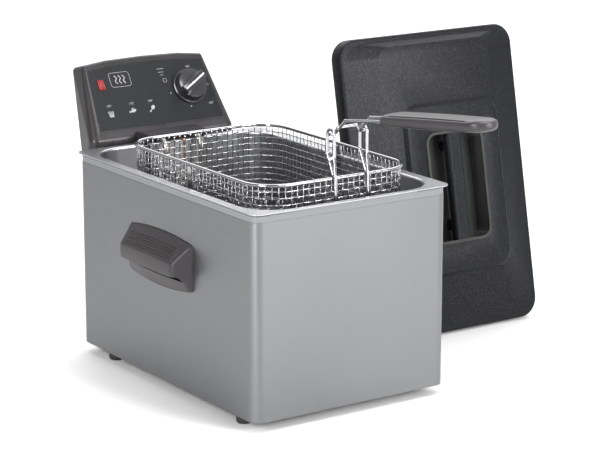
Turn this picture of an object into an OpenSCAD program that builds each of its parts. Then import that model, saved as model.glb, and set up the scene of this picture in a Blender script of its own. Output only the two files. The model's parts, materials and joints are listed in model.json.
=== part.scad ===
// A domestic deep fryer: sheet-steel casing, lift-out pot, plug-in control unit with
// its heating element, wire basket with a folding handle, and a lift-off lid that
// stands beside the casing. All sizes are in millimetres, +Z is up and +Y points
// from the basket's handle to the control unit. The origin is the middle of the
// casing's underside, so the feet reach down to -foot_h.

/* [Casing] */
// Width of the steel casing, left to right
casing_w = 232; // [226:1:240]
// Depth of the steel casing, front to back
casing_d = 345; // [340:1:352]
// Height of the steel casing
casing_h = 200; // [196:1:206]
// Thickness of the casing's sheet steel
casing_t = 1; // [0.8:0.1:1.4]
// Radius of the casing's upright corners
casing_r = 12; // [9:1:16]
// Width of the lip folded inwards under the casing
casing_lip = 5.5; // [4:0.5:5.5]
// Height of the light frame between casing and pot
frame_h = 6.5; // [5:0.5:8]
// Diameter of a rubber foot
foot_d = 16; // [12:1:20]
// Height of a rubber foot
foot_h = 11; // [8:1:16]

/* [Carry handles] */
// Length of a carry handle along the casing's side
grip_len = 121; // [100:1:130]
// Reach of a carry handle out from the casing's side
grip_reach = 23; // [20:1:24]
// Height of a carry handle's top edge above the casing's underside
grip_top = 157; // [150:1:165]
// Height of a carry handle's hood, top edge to lower lip
grip_hood = 34; // [28:1:38]
// Height of a carry handle's mounting plate
grip_plate = 51; // [46:1:56]
// Wall thickness of a carry handle
grip_t = 3; // [2.5:0.5:4]
// Number of finger grooves in a carry handle
grip_grooves = 6; // [3:1:7]

/* [Pot] */
// Width of the pot's mouth
pot_w = 213; // [208:1:216]
// Depth of the pot's mouth, front to back
pot_d = 335; // [328:1:338]
// Corner radius of the pot's mouth
pot_r = 37; // [30:1:42]
// Height of the pot's flange top above the casing's underside
pot_top = 209.2; // [208.9:0.1:212]
// Height of the pot's floor above the casing's underside
pot_floor = 40; // [34:1:50]
// Thickness of the pot's sheet steel
pot_t = 0.9; // [0.8:0.1:0.9]
// How far the pot's flange runs past the casing on each side
flange_over = 2; // [1:0.5:3]

/* [Control unit] */
// Gap between the casing's back and the control unit
unit_gap = 12.5; // [11:0.5:16]
// Half the width of the control unit at its foot
unit_half = 91; // [88:1:94]
// Height of the control unit's lower edge
unit_foot = 176; // [170:1:182]
// Height of the fold where the sloping panel starts
fold_z = 221; // [218:1:224]
// Length of the sloping panel, fold to top
panel_len = 78; // [74:1:80]
// Lean of the panel back from upright, in degrees
panel_lean = 32.3; // [30:0.1:34]
// Wall thickness of the control unit's mouldings
unit_t = 2.2; // [2:0.1:2.6]
// Diameter of the thermostat knob
knob_d = 40; // [34:1:42]
// Reach of the thermostat knob out from the panel
knob_h = 16; // [12:1:18]

/* [Heating element] */
// Diameter of the heating element's tube
element_d = 6.5; // [6:0.5:7]
// Height of the element's middle above the pot's floor
element_up = 20; // [16:1:26]
// Spacing between neighbouring runs of the element
element_pitch = 44; // [40:1:46]
// Length of the element's straight runs along the pot
element_run = 250; // [200:5:260]

/* [Basket] */
// Width of the basket's rim
basket_w = 186; // [180:1:190]
// Depth of the basket's rim, front to back
basket_d = 269; // [260:1:272]
// Height of the basket, rim to floor
basket_h = 90; // [80:1:92]
// Corner radius of the basket's rim
basket_r = 37; // [32:1:42]
// Height of the basket's rim while it drains
basket_top = 228; // [224:1:232]
// Diameter of the basket's rim wire
rim_wire = 3.6; // [3:0.2:4]
// Diameter of the bracket's and handle's wire
bar_wire = 3.2; // [2.8:0.2:3.6]
// Length of the basket handle's plastic grip
bar_grip = 148; // [140:1:165]
// Width of the basket handle's plastic grip
bar_grip_w = 36; // [35:1:38]

/* [Lid] */
// Width of the lid
lid_w = 236; // [230:1:238]
// Length of the lid
lid_l = 334; // [326:1:340]
// Depth of the lid's skirt
lid_skirt = 17; // [14:1:20]
// Corner radius of the lid
lid_r = 22; // [18:1:26]
// Height of the lid's raised middle above its border
lid_rise = 12; // [8:1:14]
// Thickness of the lid's sheet
lid_t = 1.2; // [1:0.1:1.6]
// Lean of the standing lid back from upright, in degrees
lid_lean = 11; // [9:0.5:14]

/* [Hidden] */
$fn = 48;
eps = 0.01;
clear = 0.4;

foot_x = casing_w / 2 - 14;
foot_y = [-131, 122];
foot_places = [for (x = [-1, 1], y = foot_y) [x * foot_x, y]];
foot_names = ["foot_front_left", "foot_back_left", "foot_front_right", "foot_back_right"];
screw_r = 2;
base_t = 1.5;

rivet_x = [-30, 30];
rivet_z = 150;
grip_screw_y = 40;
grip_screw_z = grip_top - 42;

flange_w = casing_w + 2 * flange_over;
flange_d = casing_d + 2 * flange_over + 2;
flange_r = 10;
bead_r = 2.5;
pot_bottom_r = 18;
frame_w = casing_w - 1;
frame_d = casing_d - 1;
frame_top = pot_top - pot_t - 0.3;
frame_hole_w = pot_w + 2 * bead_r + 0.6;
frame_hole_d = pot_d + 2 * bead_r + 0.6;
frame_hole_r = pot_r + bead_r + 0.3;

// The control unit's outline: the panel's plane leans back from the fold.
unit_front = casing_d / 2 + unit_gap;
fold_y = unit_front + 3.3;
panel_tilt = 90 - panel_lean;
panel_dir = [0, sin(panel_lean), cos(panel_lean)];
panel_out = [0, -cos(panel_lean), sin(panel_lean)];
panel_base = [0, fold_y, fold_z];
crown_up = 4.5;
panel_half = unit_half - 11;
knob_at = [46.5, 42];
lamp_at = [-61, 55.5];
lamp_size = [8, 12];
spindle_r = 3;
reset_x = -52;
reset_z = 222;
reset_r = 4;
gland_x = 40;
gland_z = 200;
gland_r = 7;
head_screw_places = [for (x = [-70, 70], z = [190, 262]) [x, z]];
// The back cover's outer face passes this point and leans back by this angle.
cover_y = unit_front + 25.5;
cover_z = unit_foot + 2.9;
cover_lean = 24.66;
parting_lean = 25.5;

// The heating element rises at the back of the pot and runs over the flange.
neck_half = 34;
plate_z = pot_top + 0.6;
plate_t = 1;
plate_y = 159;
neck_z = plate_z + plate_t + element_d / 2 + clear;
element_z = pot_floor + element_up;
riser_x = element_pitch / 2;
riser_y = 146;
cross_y = 156;
bend_r = 14;
element_front = cross_y - element_run;
bulb_d = 6;
bulb_len = 90;
guide_half = 62;
tongue_y = casing_d / 2 + 4;

basket_x = -3;
basket_y = -21;
basket_floor = basket_top - basket_h;
basket_wall = 1;
bracket_x = 8;
bracket_half = 19.5;
stem_y = basket_y - basket_d / 2 - bar_wire / 2;
pivot_y = -149;
pivot_z = 271;
loop_half = 6;
handle_half = 15;
bend_y = -167;
bend_z = 287;
grip_y = -226;
grip_z = 296.2;
grip_slope = 7;

// The lid stands on its lower edge beside the right carry handle.
lid_x = casing_w / 2 + grip_reach + 2;
lid_y = 9;
lid_edge_r = 3;
plateau_low = [226, 322];
plateau_top = [156, 252];
plateau_y = 196;
zone_low = [132, 192];
zone_top = [124, 184];
zone_at = [lid_w / 2 + 12, 160];
zone_rise = 4;
zone_z = lid_skirt + lid_rise + zone_rise;
well_size = [76, 122];
well_at = [lid_w / 2 + 12, 161];
well_deep = 24;
well_t = 1.5;
lid_grip_w = 20;
lid_grip_h = 12;
lid_grip_r = 4;
liner_z = 3;
lid_screw_y = [-44, 44];
lid_screw_r = 1.6;

// ---- Shared shapes ----

// A rectangle with round corners, centred.
module plate_2d(w, d, r) {
    square([w - 2 * r, d], center = true);
    square([w, d - 2 * r], center = true);
    for (x = [-1, 1], y = [-1, 1])
        translate([x * (w / 2 - r), y * (d / 2 - r)]) circle(r);
}

module plate(w, d, r, h) {
    linear_extrude(h) plate_2d(w, d, r);
}

// A rectangular tube with round corners and walls of thickness t.
module ring(w, d, r, t, h) {
    linear_extrude(h) difference() {
        plate_2d(w, d, r);
        plate_2d(w - 2 * t, d - 2 * t, max(r - t, 0.5));
    }
}

// Carries a 2D profile (x outwards from the path, y up) round a rounded rectangle.
module sweep_round(w, d, r) {
    for (q = [0 : 3]) {
        sx = (q == 0 || q == 3) ? 1 : -1;
        sy = (q < 2) ? 1 : -1;
        translate([sx * (w / 2 - r), sy * (d / 2 - r), 0])
            rotate([0, 0, 90 * q])
            rotate_extrude(angle = 90) translate([r, 0]) children();
        run = (q % 2 == 0 ? d : w) - 2 * r;
        off = q % 2 == 0 ? w / 2 : d / 2;
        rotate([0, 0, 90 * q]) translate([off, 0, 0]) rotate([90, 0, 0])
            linear_extrude(run, center = true) children();
    }
}

// A straight round bar from a to b.
module bar(a, b, d) {
    v = b - a;
    len = norm(v);
    turn = atan2(v[1], v[0]);
    lean = acos(v[2] / len);
    translate(a) rotate([0, lean, turn]) cylinder(d = d, h = len, $fn = 24);
}

// A bent wire through a list of points, with a slightly thicker ball at each bend.
module wire(points, d) {
    for (i = [1 : len(points) - 1]) bar(points[i - 1], points[i], d);
    for (i = [1 : len(points) - 2]) translate(points[i]) sphere(d = d + 0.3, $fn = 24);
}

// A pan-head screw whose head sits on z = 0 and whose shank runs down.
module screw(r, length) {
    cylinder(r = 2 * r, h = 1.1 * r);
    translate([0, 0, -length]) cylinder(r = r, h = length + eps);
}

// Places children on the sloping panel: x across, y up the panel, z out of it.
module on_panel(x = 0, y = 0, z = 0) {
    translate(panel_base) rotate([panel_tilt, 0, 0]) translate([x, y, z]) children();
}

// ---- Casing and its fittings ----

module casing_shell() {
    difference() {
        union() {
            ring(casing_w, casing_d, casing_r, casing_t, casing_h);
            ring(casing_w, casing_d, casing_r, casing_lip, casing_t);
        }
        for (side = [-1, 1], y = [-grip_screw_y, grip_screw_y])
            translate([side * casing_w / 2, y, grip_screw_z])
                rotate([0, 90, 0]) cylinder(r = screw_r + 0.2, h = 8, center = true);
        for (x = rivet_x)
            translate([x, casing_d / 2, rivet_z])
                rotate([90, 0, 0]) cylinder(r = screw_r + 0.2, h = 8, center = true);
    }
}

module casing() {
    color("silver") casing_shell();
}

module base_plate() {
    inset = 2 * casing_t + 1;
    color("dimgray") translate([0, 0, casing_t]) difference() {
        plate(casing_w - inset, casing_d - inset, casing_r - 1.5, base_t);
        for (p = foot_places)
            translate([p[0], p[1], -1]) cylinder(r = screw_r + 0.2, h = base_t + 2);
        for (x = [-50 : 12.5 : 50])
            translate([x, 0, -1]) linear_extrude(base_t + 2) plate_2d(5, 90, 2.4);
    }
}

// The foot stands inside the casing's lip, and its screw ends in the base plate.
module foot(place) {
    h = foot_h + casing_t;
    color("black") translate([place[0], place[1], -foot_h]) difference() {
        union() {
            cylinder(d = foot_d - 2, h = h);
            translate([0, 0, 1.5]) cylinder(d = foot_d, h = h - 1.5);
        }
        translate([0, 0, -1]) cylinder(r = 2 * screw_r + 0.4, h = 4);
        cylinder(r = screw_r + 0.1, h = h + 1);
    }
}

module foot_screws() {
    color("gray") for (p = foot_places)
        translate([p[0], p[1], 3 - foot_h])
            rotate([180, 0, 0]) screw(screw_r, foot_h + 1);
}

// One carry handle, for the casing's right side: x out from the side, y along it.
module carry_handle_shape() {
    z_low = grip_top - grip_hood;
    z_foot = grip_top - grip_plate;
    half = grip_len / 2;
    wall = [0, grip_top - 2];
    lip = [grip_reach - 4, grip_top - 22];
    difference() {
        hull() {
            for (y = [-1, 1]) {
                translate([wall[0], y * (half - 6), wall[1]]) sphere(2, $fn = 20);
                translate([lip[0], y * (half - 7), lip[1]]) sphere(2, $fn = 20);
                translate([lip[0], y * (half - 4), z_low + 2]) sphere(2, $fn = 20);
                translate([0, y * (half - 2), z_foot + 2]) sphere(2, $fn = 20);
            }
            translate([0, 0, grip_top + 1]) sphere(2, $fn = 20);
            translate([grip_reach - 2, 0, lip[1] + 1]) sphere(2, $fn = 20);
            translate([grip_reach - 2, 0, z_low]) sphere(2, $fn = 20);
        }
        translate([-10, -half, 0]) cube([10, grip_len, 300]);
        hull() {
            for (y = [-1, 1]) {
                translate([grip_t, y * (half - 4 - grip_t), z_foot - 4]) cube([1, 1, 1], center = true);
                translate([lip[0] - 1.5, y * (half - 4 - grip_t), z_foot - 4]) cube([1, 1, 1], center = true);
                translate([lip[0] - 1.5, y * (half - 6 - grip_t), lip[1] - 2]) sphere(1, $fn = 16);
                translate([grip_t + 0.5, y * (half - 8 - grip_t), wall[1] - 5]) sphere(1, $fn = 16);
            }
            translate([grip_reach - 2 - grip_t, 0, lip[1] - 1]) sphere(1, $fn = 16);
        }
        for (k = [0 : grip_grooves - 1], y = [-1, 1]) {
            t = 0.36 + 0.56 * k / (grip_grooves - 1);
            tip = (1 - t) * wall + t * lip + [1.7, 1.6];
            mid = (1 - t) * [0, grip_top + 1] + t * [grip_reach - 2, lip[1] + 1] + [1.7, 1.6];
            bar([mid[0], 0, mid[1]], [tip[0], y * (half - 13), tip[1]], 1.8);
        }
        for (y = [-grip_screw_y, grip_screw_y])
            translate([-1, y, grip_screw_z]) rotate([0, 90, 0]) cylinder(r = screw_r, h = grip_t + 3);
    }
}

module carry_handle(side) {
    color("dimgray") mirror([side < 0 ? 1 : 0, 0, 0])
        translate([casing_w / 2, 0, 0]) carry_handle_shape();
}

module carry_handle_screws() {
    color("gray") for (side = [-1, 1], y = [-grip_screw_y, grip_screw_y])
        translate([side * (casing_w / 2 - casing_t), y, grip_screw_z])
            rotate([0, -90 * side, 0]) screw(screw_r, casing_t + grip_t);
}

// A tongue inside the casing, a visible band on its edge and a ledge for the pot.
module top_frame() {
    band_top = casing_h + frame_h;
    color("lightgray") {
        translate([0, 0, casing_h - 8])
            ring(casing_w - 2 * casing_t - 0.4, casing_d - 2 * casing_t - 0.4, casing_r - 1.2, 1.2, 8 + eps);
        translate([0, 0, casing_h]) difference() {
            union() {
                plate(frame_w, frame_d, casing_r - 0.5, frame_h);
                plate(frame_hole_w + 3, frame_hole_d + 3, frame_hole_r + 1.5, frame_top - casing_h);
            }
            translate([0, 0, -1]) plate(frame_hole_w, frame_hole_d, frame_hole_r, 20);
        }
    }
}

// The channel on the casing's back that the control unit's tongue slides into.
module unit_guide() {
    back = casing_d / 2;
    color("silver") difference() {
        union() {
            translate([-guide_half, back, 110]) cube([2 * guide_half, 2.6, 75]);
            for (side = [-1, 1]) {
                translate([side * (guide_half - 3) - 3, back + 2.6 - eps, 110]) cube([6, 4.4, 75]);
                translate([side * (guide_half - 7) - 7, back + 7 - eps, 110]) cube([14, 1.5, 75]);
            }
        }
        for (x = rivet_x)
            translate([x, back - 1, rivet_z]) rotate([-90, 0, 0]) cylinder(r = screw_r + 0.1, h = 5);
    }
}

module guide_rivets() {
    color("gray") for (x = rivet_x)
        translate([x, casing_d / 2 - casing_t, rivet_z]) rotate([90, 0, 0]) screw(screw_r, casing_t + 2.4);
}

// ---- Pot ----

// Profile of a quarter-round wall from a flat floor up to the side, r outside.
module quarter_2d(r, t) {
    intersection() {
        difference() {
            circle(r);
            circle(r - t);
        }
        translate([0, -r]) square([r, r]);
    }
}

module pot() {
    w = pot_w + 2 * pot_t;
    d = pot_d + 2 * pot_t;
    r = pot_r + pot_t;
    rb = pot_bottom_r;
    low = pot_floor - pot_t;
    neck = pot_top - bead_r;
    color("lightsteelblue") {
        translate([0, 0, low + rb]) ring(w, d, r, pot_t, neck - low - rb);
        translate([0, 0, low + rb]) sweep_round(w - 2 * rb, d - 2 * rb, r - rb) quarter_2d(rb, pot_t);
        translate([0, 0, low]) plate(w - 2 * rb, d - 2 * rb, r - rb, pot_t);
        translate([0, 0, neck]) sweep_round(pot_w + 2 * bead_r, pot_d + 2 * bead_r, pot_r + bead_r)
            mirror([1, 0]) mirror([0, 1]) quarter_2d(bead_r, pot_t);
        translate([0, 0, pot_top - pot_t]) difference() {
            plate(flange_w, flange_d, flange_r, pot_t);
            translate([0, 0, -1]) plate(pot_w + 2 * bead_r, pot_d + 2 * bead_r, pot_r + bead_r, 3);
        }
        for (z = [95, 125])
            translate([pot_w / 2 - 1, -60, z]) cube([1 + pot_t / 2, 60, 1.2]);
    }
}

// ---- Control unit ----

// The solid shape of the control unit, shrunk by inset on every side.
module head_solid(inset) {
    y0 = unit_front;
    fold_c = panel_base - 9 * panel_out;
    top_c = panel_base + panel_len * panel_dir - 4 * panel_out;
    mid_c = top_c + crown_up * panel_dir;
    side_c = top_c + 0.75 * crown_up * panel_dir;
    hull() {
        for (x = [-1, 1]) {
            translate([x * (unit_half - 9), y0 + 9, unit_foot + 9]) sphere(9 - inset, $fn = 28);
            translate([x * (unit_half - 9.6), y0 + 9, fold_z - 9]) sphere(9 - inset, $fn = 28);
            translate([x * (unit_half - 11), fold_c[1], fold_c[2]]) sphere(9 - inset, $fn = 28);
            translate([x * (unit_half - 18), top_c[1], top_c[2]]) sphere(4 - inset, $fn = 24);
            translate([x * (unit_half - 45), side_c[1], side_c[2]]) sphere(4 - inset, $fn = 24);
            translate([x * (unit_half - 19), top_c[1] + 17, top_c[2] - 5]) sphere(5 - inset, $fn = 24);
            translate([x * (unit_half - 5), y0 + 20, unit_foot + 5]) sphere(5 - inset, $fn = 24);
        }
        translate([0, mid_c[1], mid_c[2]]) sphere(4 - inset, $fn = 24);
        translate([0, mid_c[1] + 16, mid_c[2] - 5]) sphere(5 - inset, $fn = 24);
    }
}

// The plane that parts the housing from its back cover.
module behind_parting() {
    translate([-150, unit_front + 17, unit_foot - 1]) rotate([-parting_lean, 0, 0]) cube([300, 100, 220]);
}

// Places children on the back cover's outer face, z pointing straight back.
module on_cover(x, z) {
    translate([x, cover_y + (z - cover_z) * tan(cover_lean), z]) rotate([-90, 0, 0]) children();
}

// The inset label plate's outline, thickness h, with an arched top edge.
module panel_outline(h) {
    big_r = 620;
    linear_extrude(h) intersection() {
        polygon([[2 - panel_half, 3], [panel_half - 2, 3],
                 [panel_half - 9, panel_len + 9], [9 - panel_half, panel_len + 9]]);
        translate([0, panel_len - big_r]) circle(big_r, $fn = 360);
    }
}

module head_housing() {
    color("dimgray") difference() {
        head_solid(0);
        head_solid(unit_t);
        behind_parting();
        on_panel(knob_at[0], knob_at[1], -10) cylinder(r = spindle_r + 1, h = 20);
        on_panel(lamp_at[0], lamp_at[1], 0) cube([lamp_size[0], lamp_size[1], 20], center = true);
        on_panel(0, 0, -0.5) panel_outline(3);
        translate([-neck_half - clear, unit_front - 1, plate_z - clear])
            cube([2 * (neck_half + clear), 5, neck_z + 4 - plate_z]);
        translate([-50, unit_front + 3, unit_foot - 1]) cube([100, 5, 5]);
    }
}

module head_back_cover() {
    color("dimgray") difference() {
        intersection() {
            head_solid(0);
            translate([0, clear, 0]) behind_parting();
        }
        head_solid(unit_t);
        on_cover(gland_x, gland_z) {
            translate([0, 0, -20]) cylinder(r = gland_r + 0.2, h = 40);
            translate([0, 0, 3]) cylinder(r = gland_r + 3.3, h = 20);
        }
        on_cover(reset_x, reset_z) translate([0, 0, -20]) cylinder(r = reset_r + 0.4, h = 40);
        for (p = head_screw_places) on_cover(p[0], p[1]) {
            translate([0, 0, -20]) cylinder(r = screw_r + 0.2, h = 40);
            cylinder(r = 2 * screw_r + 0.3, h = 20);
        }
    }
}

module head_screws() {
    color("gray") for (p = head_screw_places) on_cover(p[0], p[1]) screw(screw_r, 12);
}

module control_panel() {
    color("darkslategray") difference() {
        on_panel(0, 0, -0.5) panel_outline(0.7);
        on_panel(knob_at[0], knob_at[1], -5) cylinder(r = spindle_r + 1, h = 10);
        on_panel(lamp_at[0], lamp_at[1], 0) cube([lamp_size[0], lamp_size[1], 10], center = true);
    }
}

module pilot_lens() {
    w = lamp_size[0] - 0.3;
    h = lamp_size[1] - 0.3;
    color("red") on_panel(lamp_at[0], lamp_at[1], -4) {
        plate(w, h, 1, 5.4);
        translate([0, 0, -0.8]) plate(w + 4, h + 4, 1, 1);
    }
}

module pilot_lamp() {
    color("orange") on_panel(lamp_at[0], lamp_at[1], -17) {
        cylinder(d = 5, h = 9);
        translate([0, 0, 9]) sphere(d = 5);
    }
}

// The thermostat's can, mounting plate and spindle, behind the panel.
module thermostat() {
    color("silver") on_panel(knob_at[0], knob_at[1], 0) {
        translate([0, 0, -16]) cylinder(r = 13, h = 12);
        translate([0, 0, -4.4]) plate(30, 30, 3, 1.4);
        translate([0, 0, -4]) cylinder(r = spindle_r, h = 4 + knob_h - 6);
    }
}

// The copper bulb lies between the element's runs; its capillary climbs to the head.
module thermostat_bulb() {
    z = element_z - 1;
    color("peru") {
        bar([0, 0, z], [0, bulb_len, z], bulb_d);
        wire([[0, bulb_len, z], [0, riser_y, z], [0, riser_y, neck_z - 1],
              [0, unit_front + 10, neck_z - 1]], 2);
    }
}

module thermal_cutout() {
    color("ivory") translate([reset_x, unit_front + 21, reset_z]) {
        cube([22, 8, 22], center = true);
        rotate([-90, 0, 0]) cylinder(r = 6, h = 4.4);
    }
}

module terminal_block() {
    color("ivory") difference() {
        translate([6, unit_front + 8, 186]) cube([30, 10, 12]);
        for (x = [11 : 10 : 31])
            translate([x, unit_front + 7, 192]) rotate([-90, 0, 0]) cylinder(r = 2, h = 12);
    }
}

module micro_switch() {
    color("black") {
        translate([-64, unit_front + 5, 188]) cube([20, 8, 11]);
        translate([-54, unit_front + 9, 184]) cylinder(r = 1.6, h = 5);
    }
}

module inner_wires() {
    y = unit_front + 13;
    color("saddlebrown") {
        bar([14, y, 199], [34, y + 19, 238], 2.2);
        bar([26, y, 199], [42, y + 18, 236], 2.2);
        bar([-43.5, y - 4, 194], [5.5, y, 192], 2.2);
    }
}

// The strain relief's body on the back cover, where a mains cord would leave.
module cord_gland() {
    color("black") on_cover(gland_x, gland_z) difference() {
        union() {
            translate([0, 0, -9]) cylinder(r = gland_r, h = 13);
            translate([0, 0, 3]) cylinder(r = gland_r + 3, h = 3);
            translate([0, 0, 5]) cylinder(r1 = gland_r, r2 = gland_r - 2, h = 14);
        }
        translate([0, 0, -10]) cylinder(r = 3.6, h = 40);
    }
}

// A pipe bend of radius r in the XY plane, from +X round to the given angle.
module pipe_bend(r, angle, d) {
    rotate_extrude(angle = angle) translate([r, 0]) circle(d = d, $fn = 24);
}

// Two risers, two inner runs, two front turns and an outer loop joined at the back.
module heating_element() {
    d = element_d;
    outer_x = riser_x + element_pitch;
    top_r = 12;
    color("gray") for (side = [-1, 1]) mirror([side < 0 ? 1 : 0, 0, 0]) {
        bar([riser_x, riser_y + top_r, neck_z], [riser_x, unit_front + 12, neck_z], d);
        translate([riser_x, riser_y + top_r, neck_z - top_r]) rotate([90, 0, 90])
            rotate([0, 0, 90]) pipe_bend(top_r, 90, d);
        bar([riser_x, riser_y, element_z + bend_r], [riser_x, riser_y, neck_z - top_r], d);
        translate([riser_x, riser_y - bend_r, element_z + bend_r]) rotate([90, 0, 90])
            rotate([0, 0, -90]) pipe_bend(bend_r, 90, d);
        bar([riser_x, element_front, element_z], [riser_x, riser_y - bend_r, element_z], d);
        translate([riser_x + element_pitch / 2, element_front, element_z])
            rotate([0, 0, 180]) pipe_bend(element_pitch / 2, 180, d);
        bar([outer_x, element_front, element_z], [outer_x, cross_y - bend_r, element_z], d);
        translate([outer_x - bend_r, cross_y - bend_r, element_z]) pipe_bend(bend_r, 90, d);
        bar([0, cross_y, element_z], [outer_x - bend_r, cross_y, element_z], d);
    }
}

// The splash plate behind the risers, bent back over the flange into the head.
module element_plate() {
    color("silver") {
        translate([-neck_half, plate_y, plate_z])
            cube([2 * neck_half, unit_front + 7 - plate_y, plate_t]);
        translate([-neck_half, plate_y, 150]) cube([2 * neck_half, plate_t, plate_z - 150 + eps]);
    }
}

// A strap over the runs, with feet that keep them off the pot's floor.
module element_clip() {
    half = riser_x + element_pitch + 6;
    top = element_z + element_d / 2;
    mid = riser_x + element_pitch / 2;
    color("silver") for (y = [-60, 60]) {
        translate([-half, y - 5, top]) cube([2 * half, 10, 1]);
        for (x = [-mid, mid]) translate([x - 0.5, y - 5, pot_floor + 1]) cube([1, 10, top - pot_floor]);
    }
}

module element_cover() {
    low = plate_z + plate_t;
    h = neck_z + element_d / 2 + 2 - low;
    color("dimgray") translate([-neck_half - 2, plate_y + 1.4, low]) difference() {
        cube([2 * neck_half + 4, unit_front - plate_y - 1.4, h]);
        translate([2, -1, -1]) cube([2 * neck_half, unit_front - plate_y + 2, h - 0.6]);
    }
}

// A bent plate that hangs the control unit on the casing's back.
module unit_tongue() {
    color("silver") {
        translate([-46, tongue_y, 118]) cube([92, 2, 54]);
        translate([-46, tongue_y, 170]) cube([92, 15.5, 2]);
        translate([-46, tongue_y + 13.5, 170]) cube([92, 2, 16]);
    }
}

// The knob's grip bar runs right across its face.
module thermostat_knob() {
    color("black") on_panel(knob_at[0], knob_at[1], 0.6) rotate([0, 0, 30]) difference() {
        union() {
            cylinder(d = knob_d, h = 2.4);
            translate([0, 0, 2.3]) cylinder(d1 = knob_d - 3, d2 = knob_d - 6, h = knob_h - 7.3);
            intersection() {
                translate([-knob_d / 2, -5, 2]) cube([knob_d, 10, knob_h - 2]);
                cylinder(d = knob_d - 5, h = knob_h);
            }
        }
        translate([0, 0, -1]) cylinder(r = spindle_r + 0.05, h = knob_h - 5);
        translate([0, 0, knob_h - 0.5]) cube([knob_d - 8, 1.8, 2], center = true);
    }
}

module knob_pointer() {
    color("white") on_panel(knob_at[0], knob_at[1], 0.6) rotate([0, 0, 30])
        translate([0, 0, knob_h - 0.55]) cube([knob_d - 8.2, 1.6, 1.5], center = true);
}

module reset_button() {
    color("red") translate([reset_x, unit_front + 28, reset_z]) rotate([-90, 0, 0]) {
        cylinder(r = reset_r, h = 19);
        cylinder(r = reset_r + 1, h = 1.5);
    }
}

// ---- Basket ----

module at_basket(z = 0) {
    translate([basket_x, basket_y, z]) children();
}

module basket_rim() {
    color("gainsboro") at_basket(basket_top)
        sweep_round(basket_w - rim_wire, basket_d - rim_wire, basket_r - rim_wire / 2)
        circle(d = rim_wire, $fn = 20);
}

// The woven basket as a plain tray, without its openings.
module basket_mesh() {
    w = basket_w - rim_wire;
    d = basket_d - rim_wire;
    r = basket_r - rim_wire / 2;
    color("lightgray") at_basket(basket_floor) {
        ring(w, d, r, basket_wall, basket_h - rim_wire / 2);
        plate(w, d, r, basket_wall);
    }
}

// Flat straps over the mesh seams and a wire round the floor's edge.
module basket_frame() {
    edge = basket_w / 2 - rim_wire / 2;
    color("gainsboro") at_basket() {
        for (side = [-1, 1])
            translate([side * (edge + 0.5) - 0.5, -3.5, basket_floor])
                cube([1, 7, basket_h - rim_wire / 2]);
        translate([0, 0, basket_floor - bar_wire / 2])
            sweep_round(basket_w - 30, basket_d - 30, basket_r - 12) circle(d = bar_wire, $fn = 20);
    }
}

// Two upright loops on stems welded to the rim; the handle's pins turn in the loops.
module handle_bracket() {
    top = pivot_z - 1;
    front = pivot_y - loop_half;
    rear = pivot_y + loop_half;
    rim_y = basket_y - basket_d / 2 + rim_wire / 2;
    color("gainsboro") {
        for (x = [bracket_x - bracket_half, bracket_x + bracket_half]) {
            wire([[x, stem_y, 190], [x, stem_y, 231], [x, front, 250], [x, front, top]], bar_wire);
            translate([x, pivot_y, top]) rotate([90, 0, 90]) pipe_bend(loop_half, 180, bar_wire);
            for (y = [front, rear]) translate([x, y, top]) sphere(d = bar_wire + 0.3, $fn = 24);
            wire([[x, rear, top], [x, rear, 252],
                  [x, rim_y, basket_top + (rim_wire + bar_wire) / 2]], bar_wire);
        }
        bar([bracket_x - bracket_half, stem_y, 190], [bracket_x + bracket_half, stem_y, 190], bar_wire);
        bar([bracket_x - bracket_half, front, 250], [bracket_x - bracket_half - 7, front, 247], bar_wire);
    }
}

// One wire: up the left side, over an arch between the pivots and back to the grip.
module handle_wires() {
    l = bracket_x - handle_half;
    r = bracket_x + handle_half;
    pin = bracket_half - handle_half + 4;
    color("gainsboro") {
        wire([[l, grip_y - 20, grip_z + 2.5], [l, grip_y, grip_z], [l, bend_y, bend_z],
              [l, pivot_y, pivot_z], [l + 4, pivot_y, pivot_z + 6], [r - 4, pivot_y, pivot_z + 6],
              [r, pivot_y, pivot_z], [r, bend_y, bend_z], [r, grip_y, grip_z],
              [r, grip_y - 20, grip_z + 2.5]], bar_wire);
        bar([l - pin, pivot_y, pivot_z], [l, pivot_y, pivot_z], bar_wire);
        bar([r, pivot_y, pivot_z], [r + pin, pivot_y, pivot_z], bar_wire);
    }
}

// The moulded grip's outline seen from above, its free end fully rounded.
module grip_outline(inset) {
    r = bar_grip_w / 2 - inset;
    hull() {
        for (x = [-1, 1]) translate([x * (r - 4), -4 - inset]) circle(4, $fn = 24);
        translate([0, r + inset - bar_grip]) circle(r, $fn = 48);
    }
}

// The moulded grip with rounded long edges, its root bored for the two wires.
module handle_grip() {
    color("dimgray") translate([bracket_x, grip_y, grip_z]) rotate([-grip_slope, 0, 0]) difference() {
        hull() {
            translate([0, 0, -3]) linear_extrude(7) grip_outline(0);
            translate([0, 0, -5]) linear_extrude(11) grip_outline(1.4);
            translate([0, 0, -6]) linear_extrude(13) grip_outline(4);
        }
        for (x = [-handle_half, handle_half])
            translate([x, 5, 0]) rotate([90, 0, 0]) cylinder(d = bar_wire + 0.2, h = 27);
    }
}

// ---- Lid ----

// The lid is drawn lying face up from its lower left corner, then stood up.
module stand_lid() {
    translate([lid_x, lid_y, -foot_h]) rotate([90 - lid_lean, 0, 0]) children();
}

module lid_block(inset, h) {
    f = lid_edge_r;
    w = lid_w - 2 * inset;
    l = lid_l - 2 * inset;
    r = lid_r - inset;
    translate([lid_w / 2, lid_l / 2, 0]) {
        plate(w, l, r, h - f);
        translate([0, 0, h - f]) {
            plate(w - 2 * f, l - 2 * f, r - f, f);
            sweep_round(w - 2 * f, l - 2 * f, r - f)
                intersection() { circle(f); square(f); }
        }
    }
}

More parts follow.
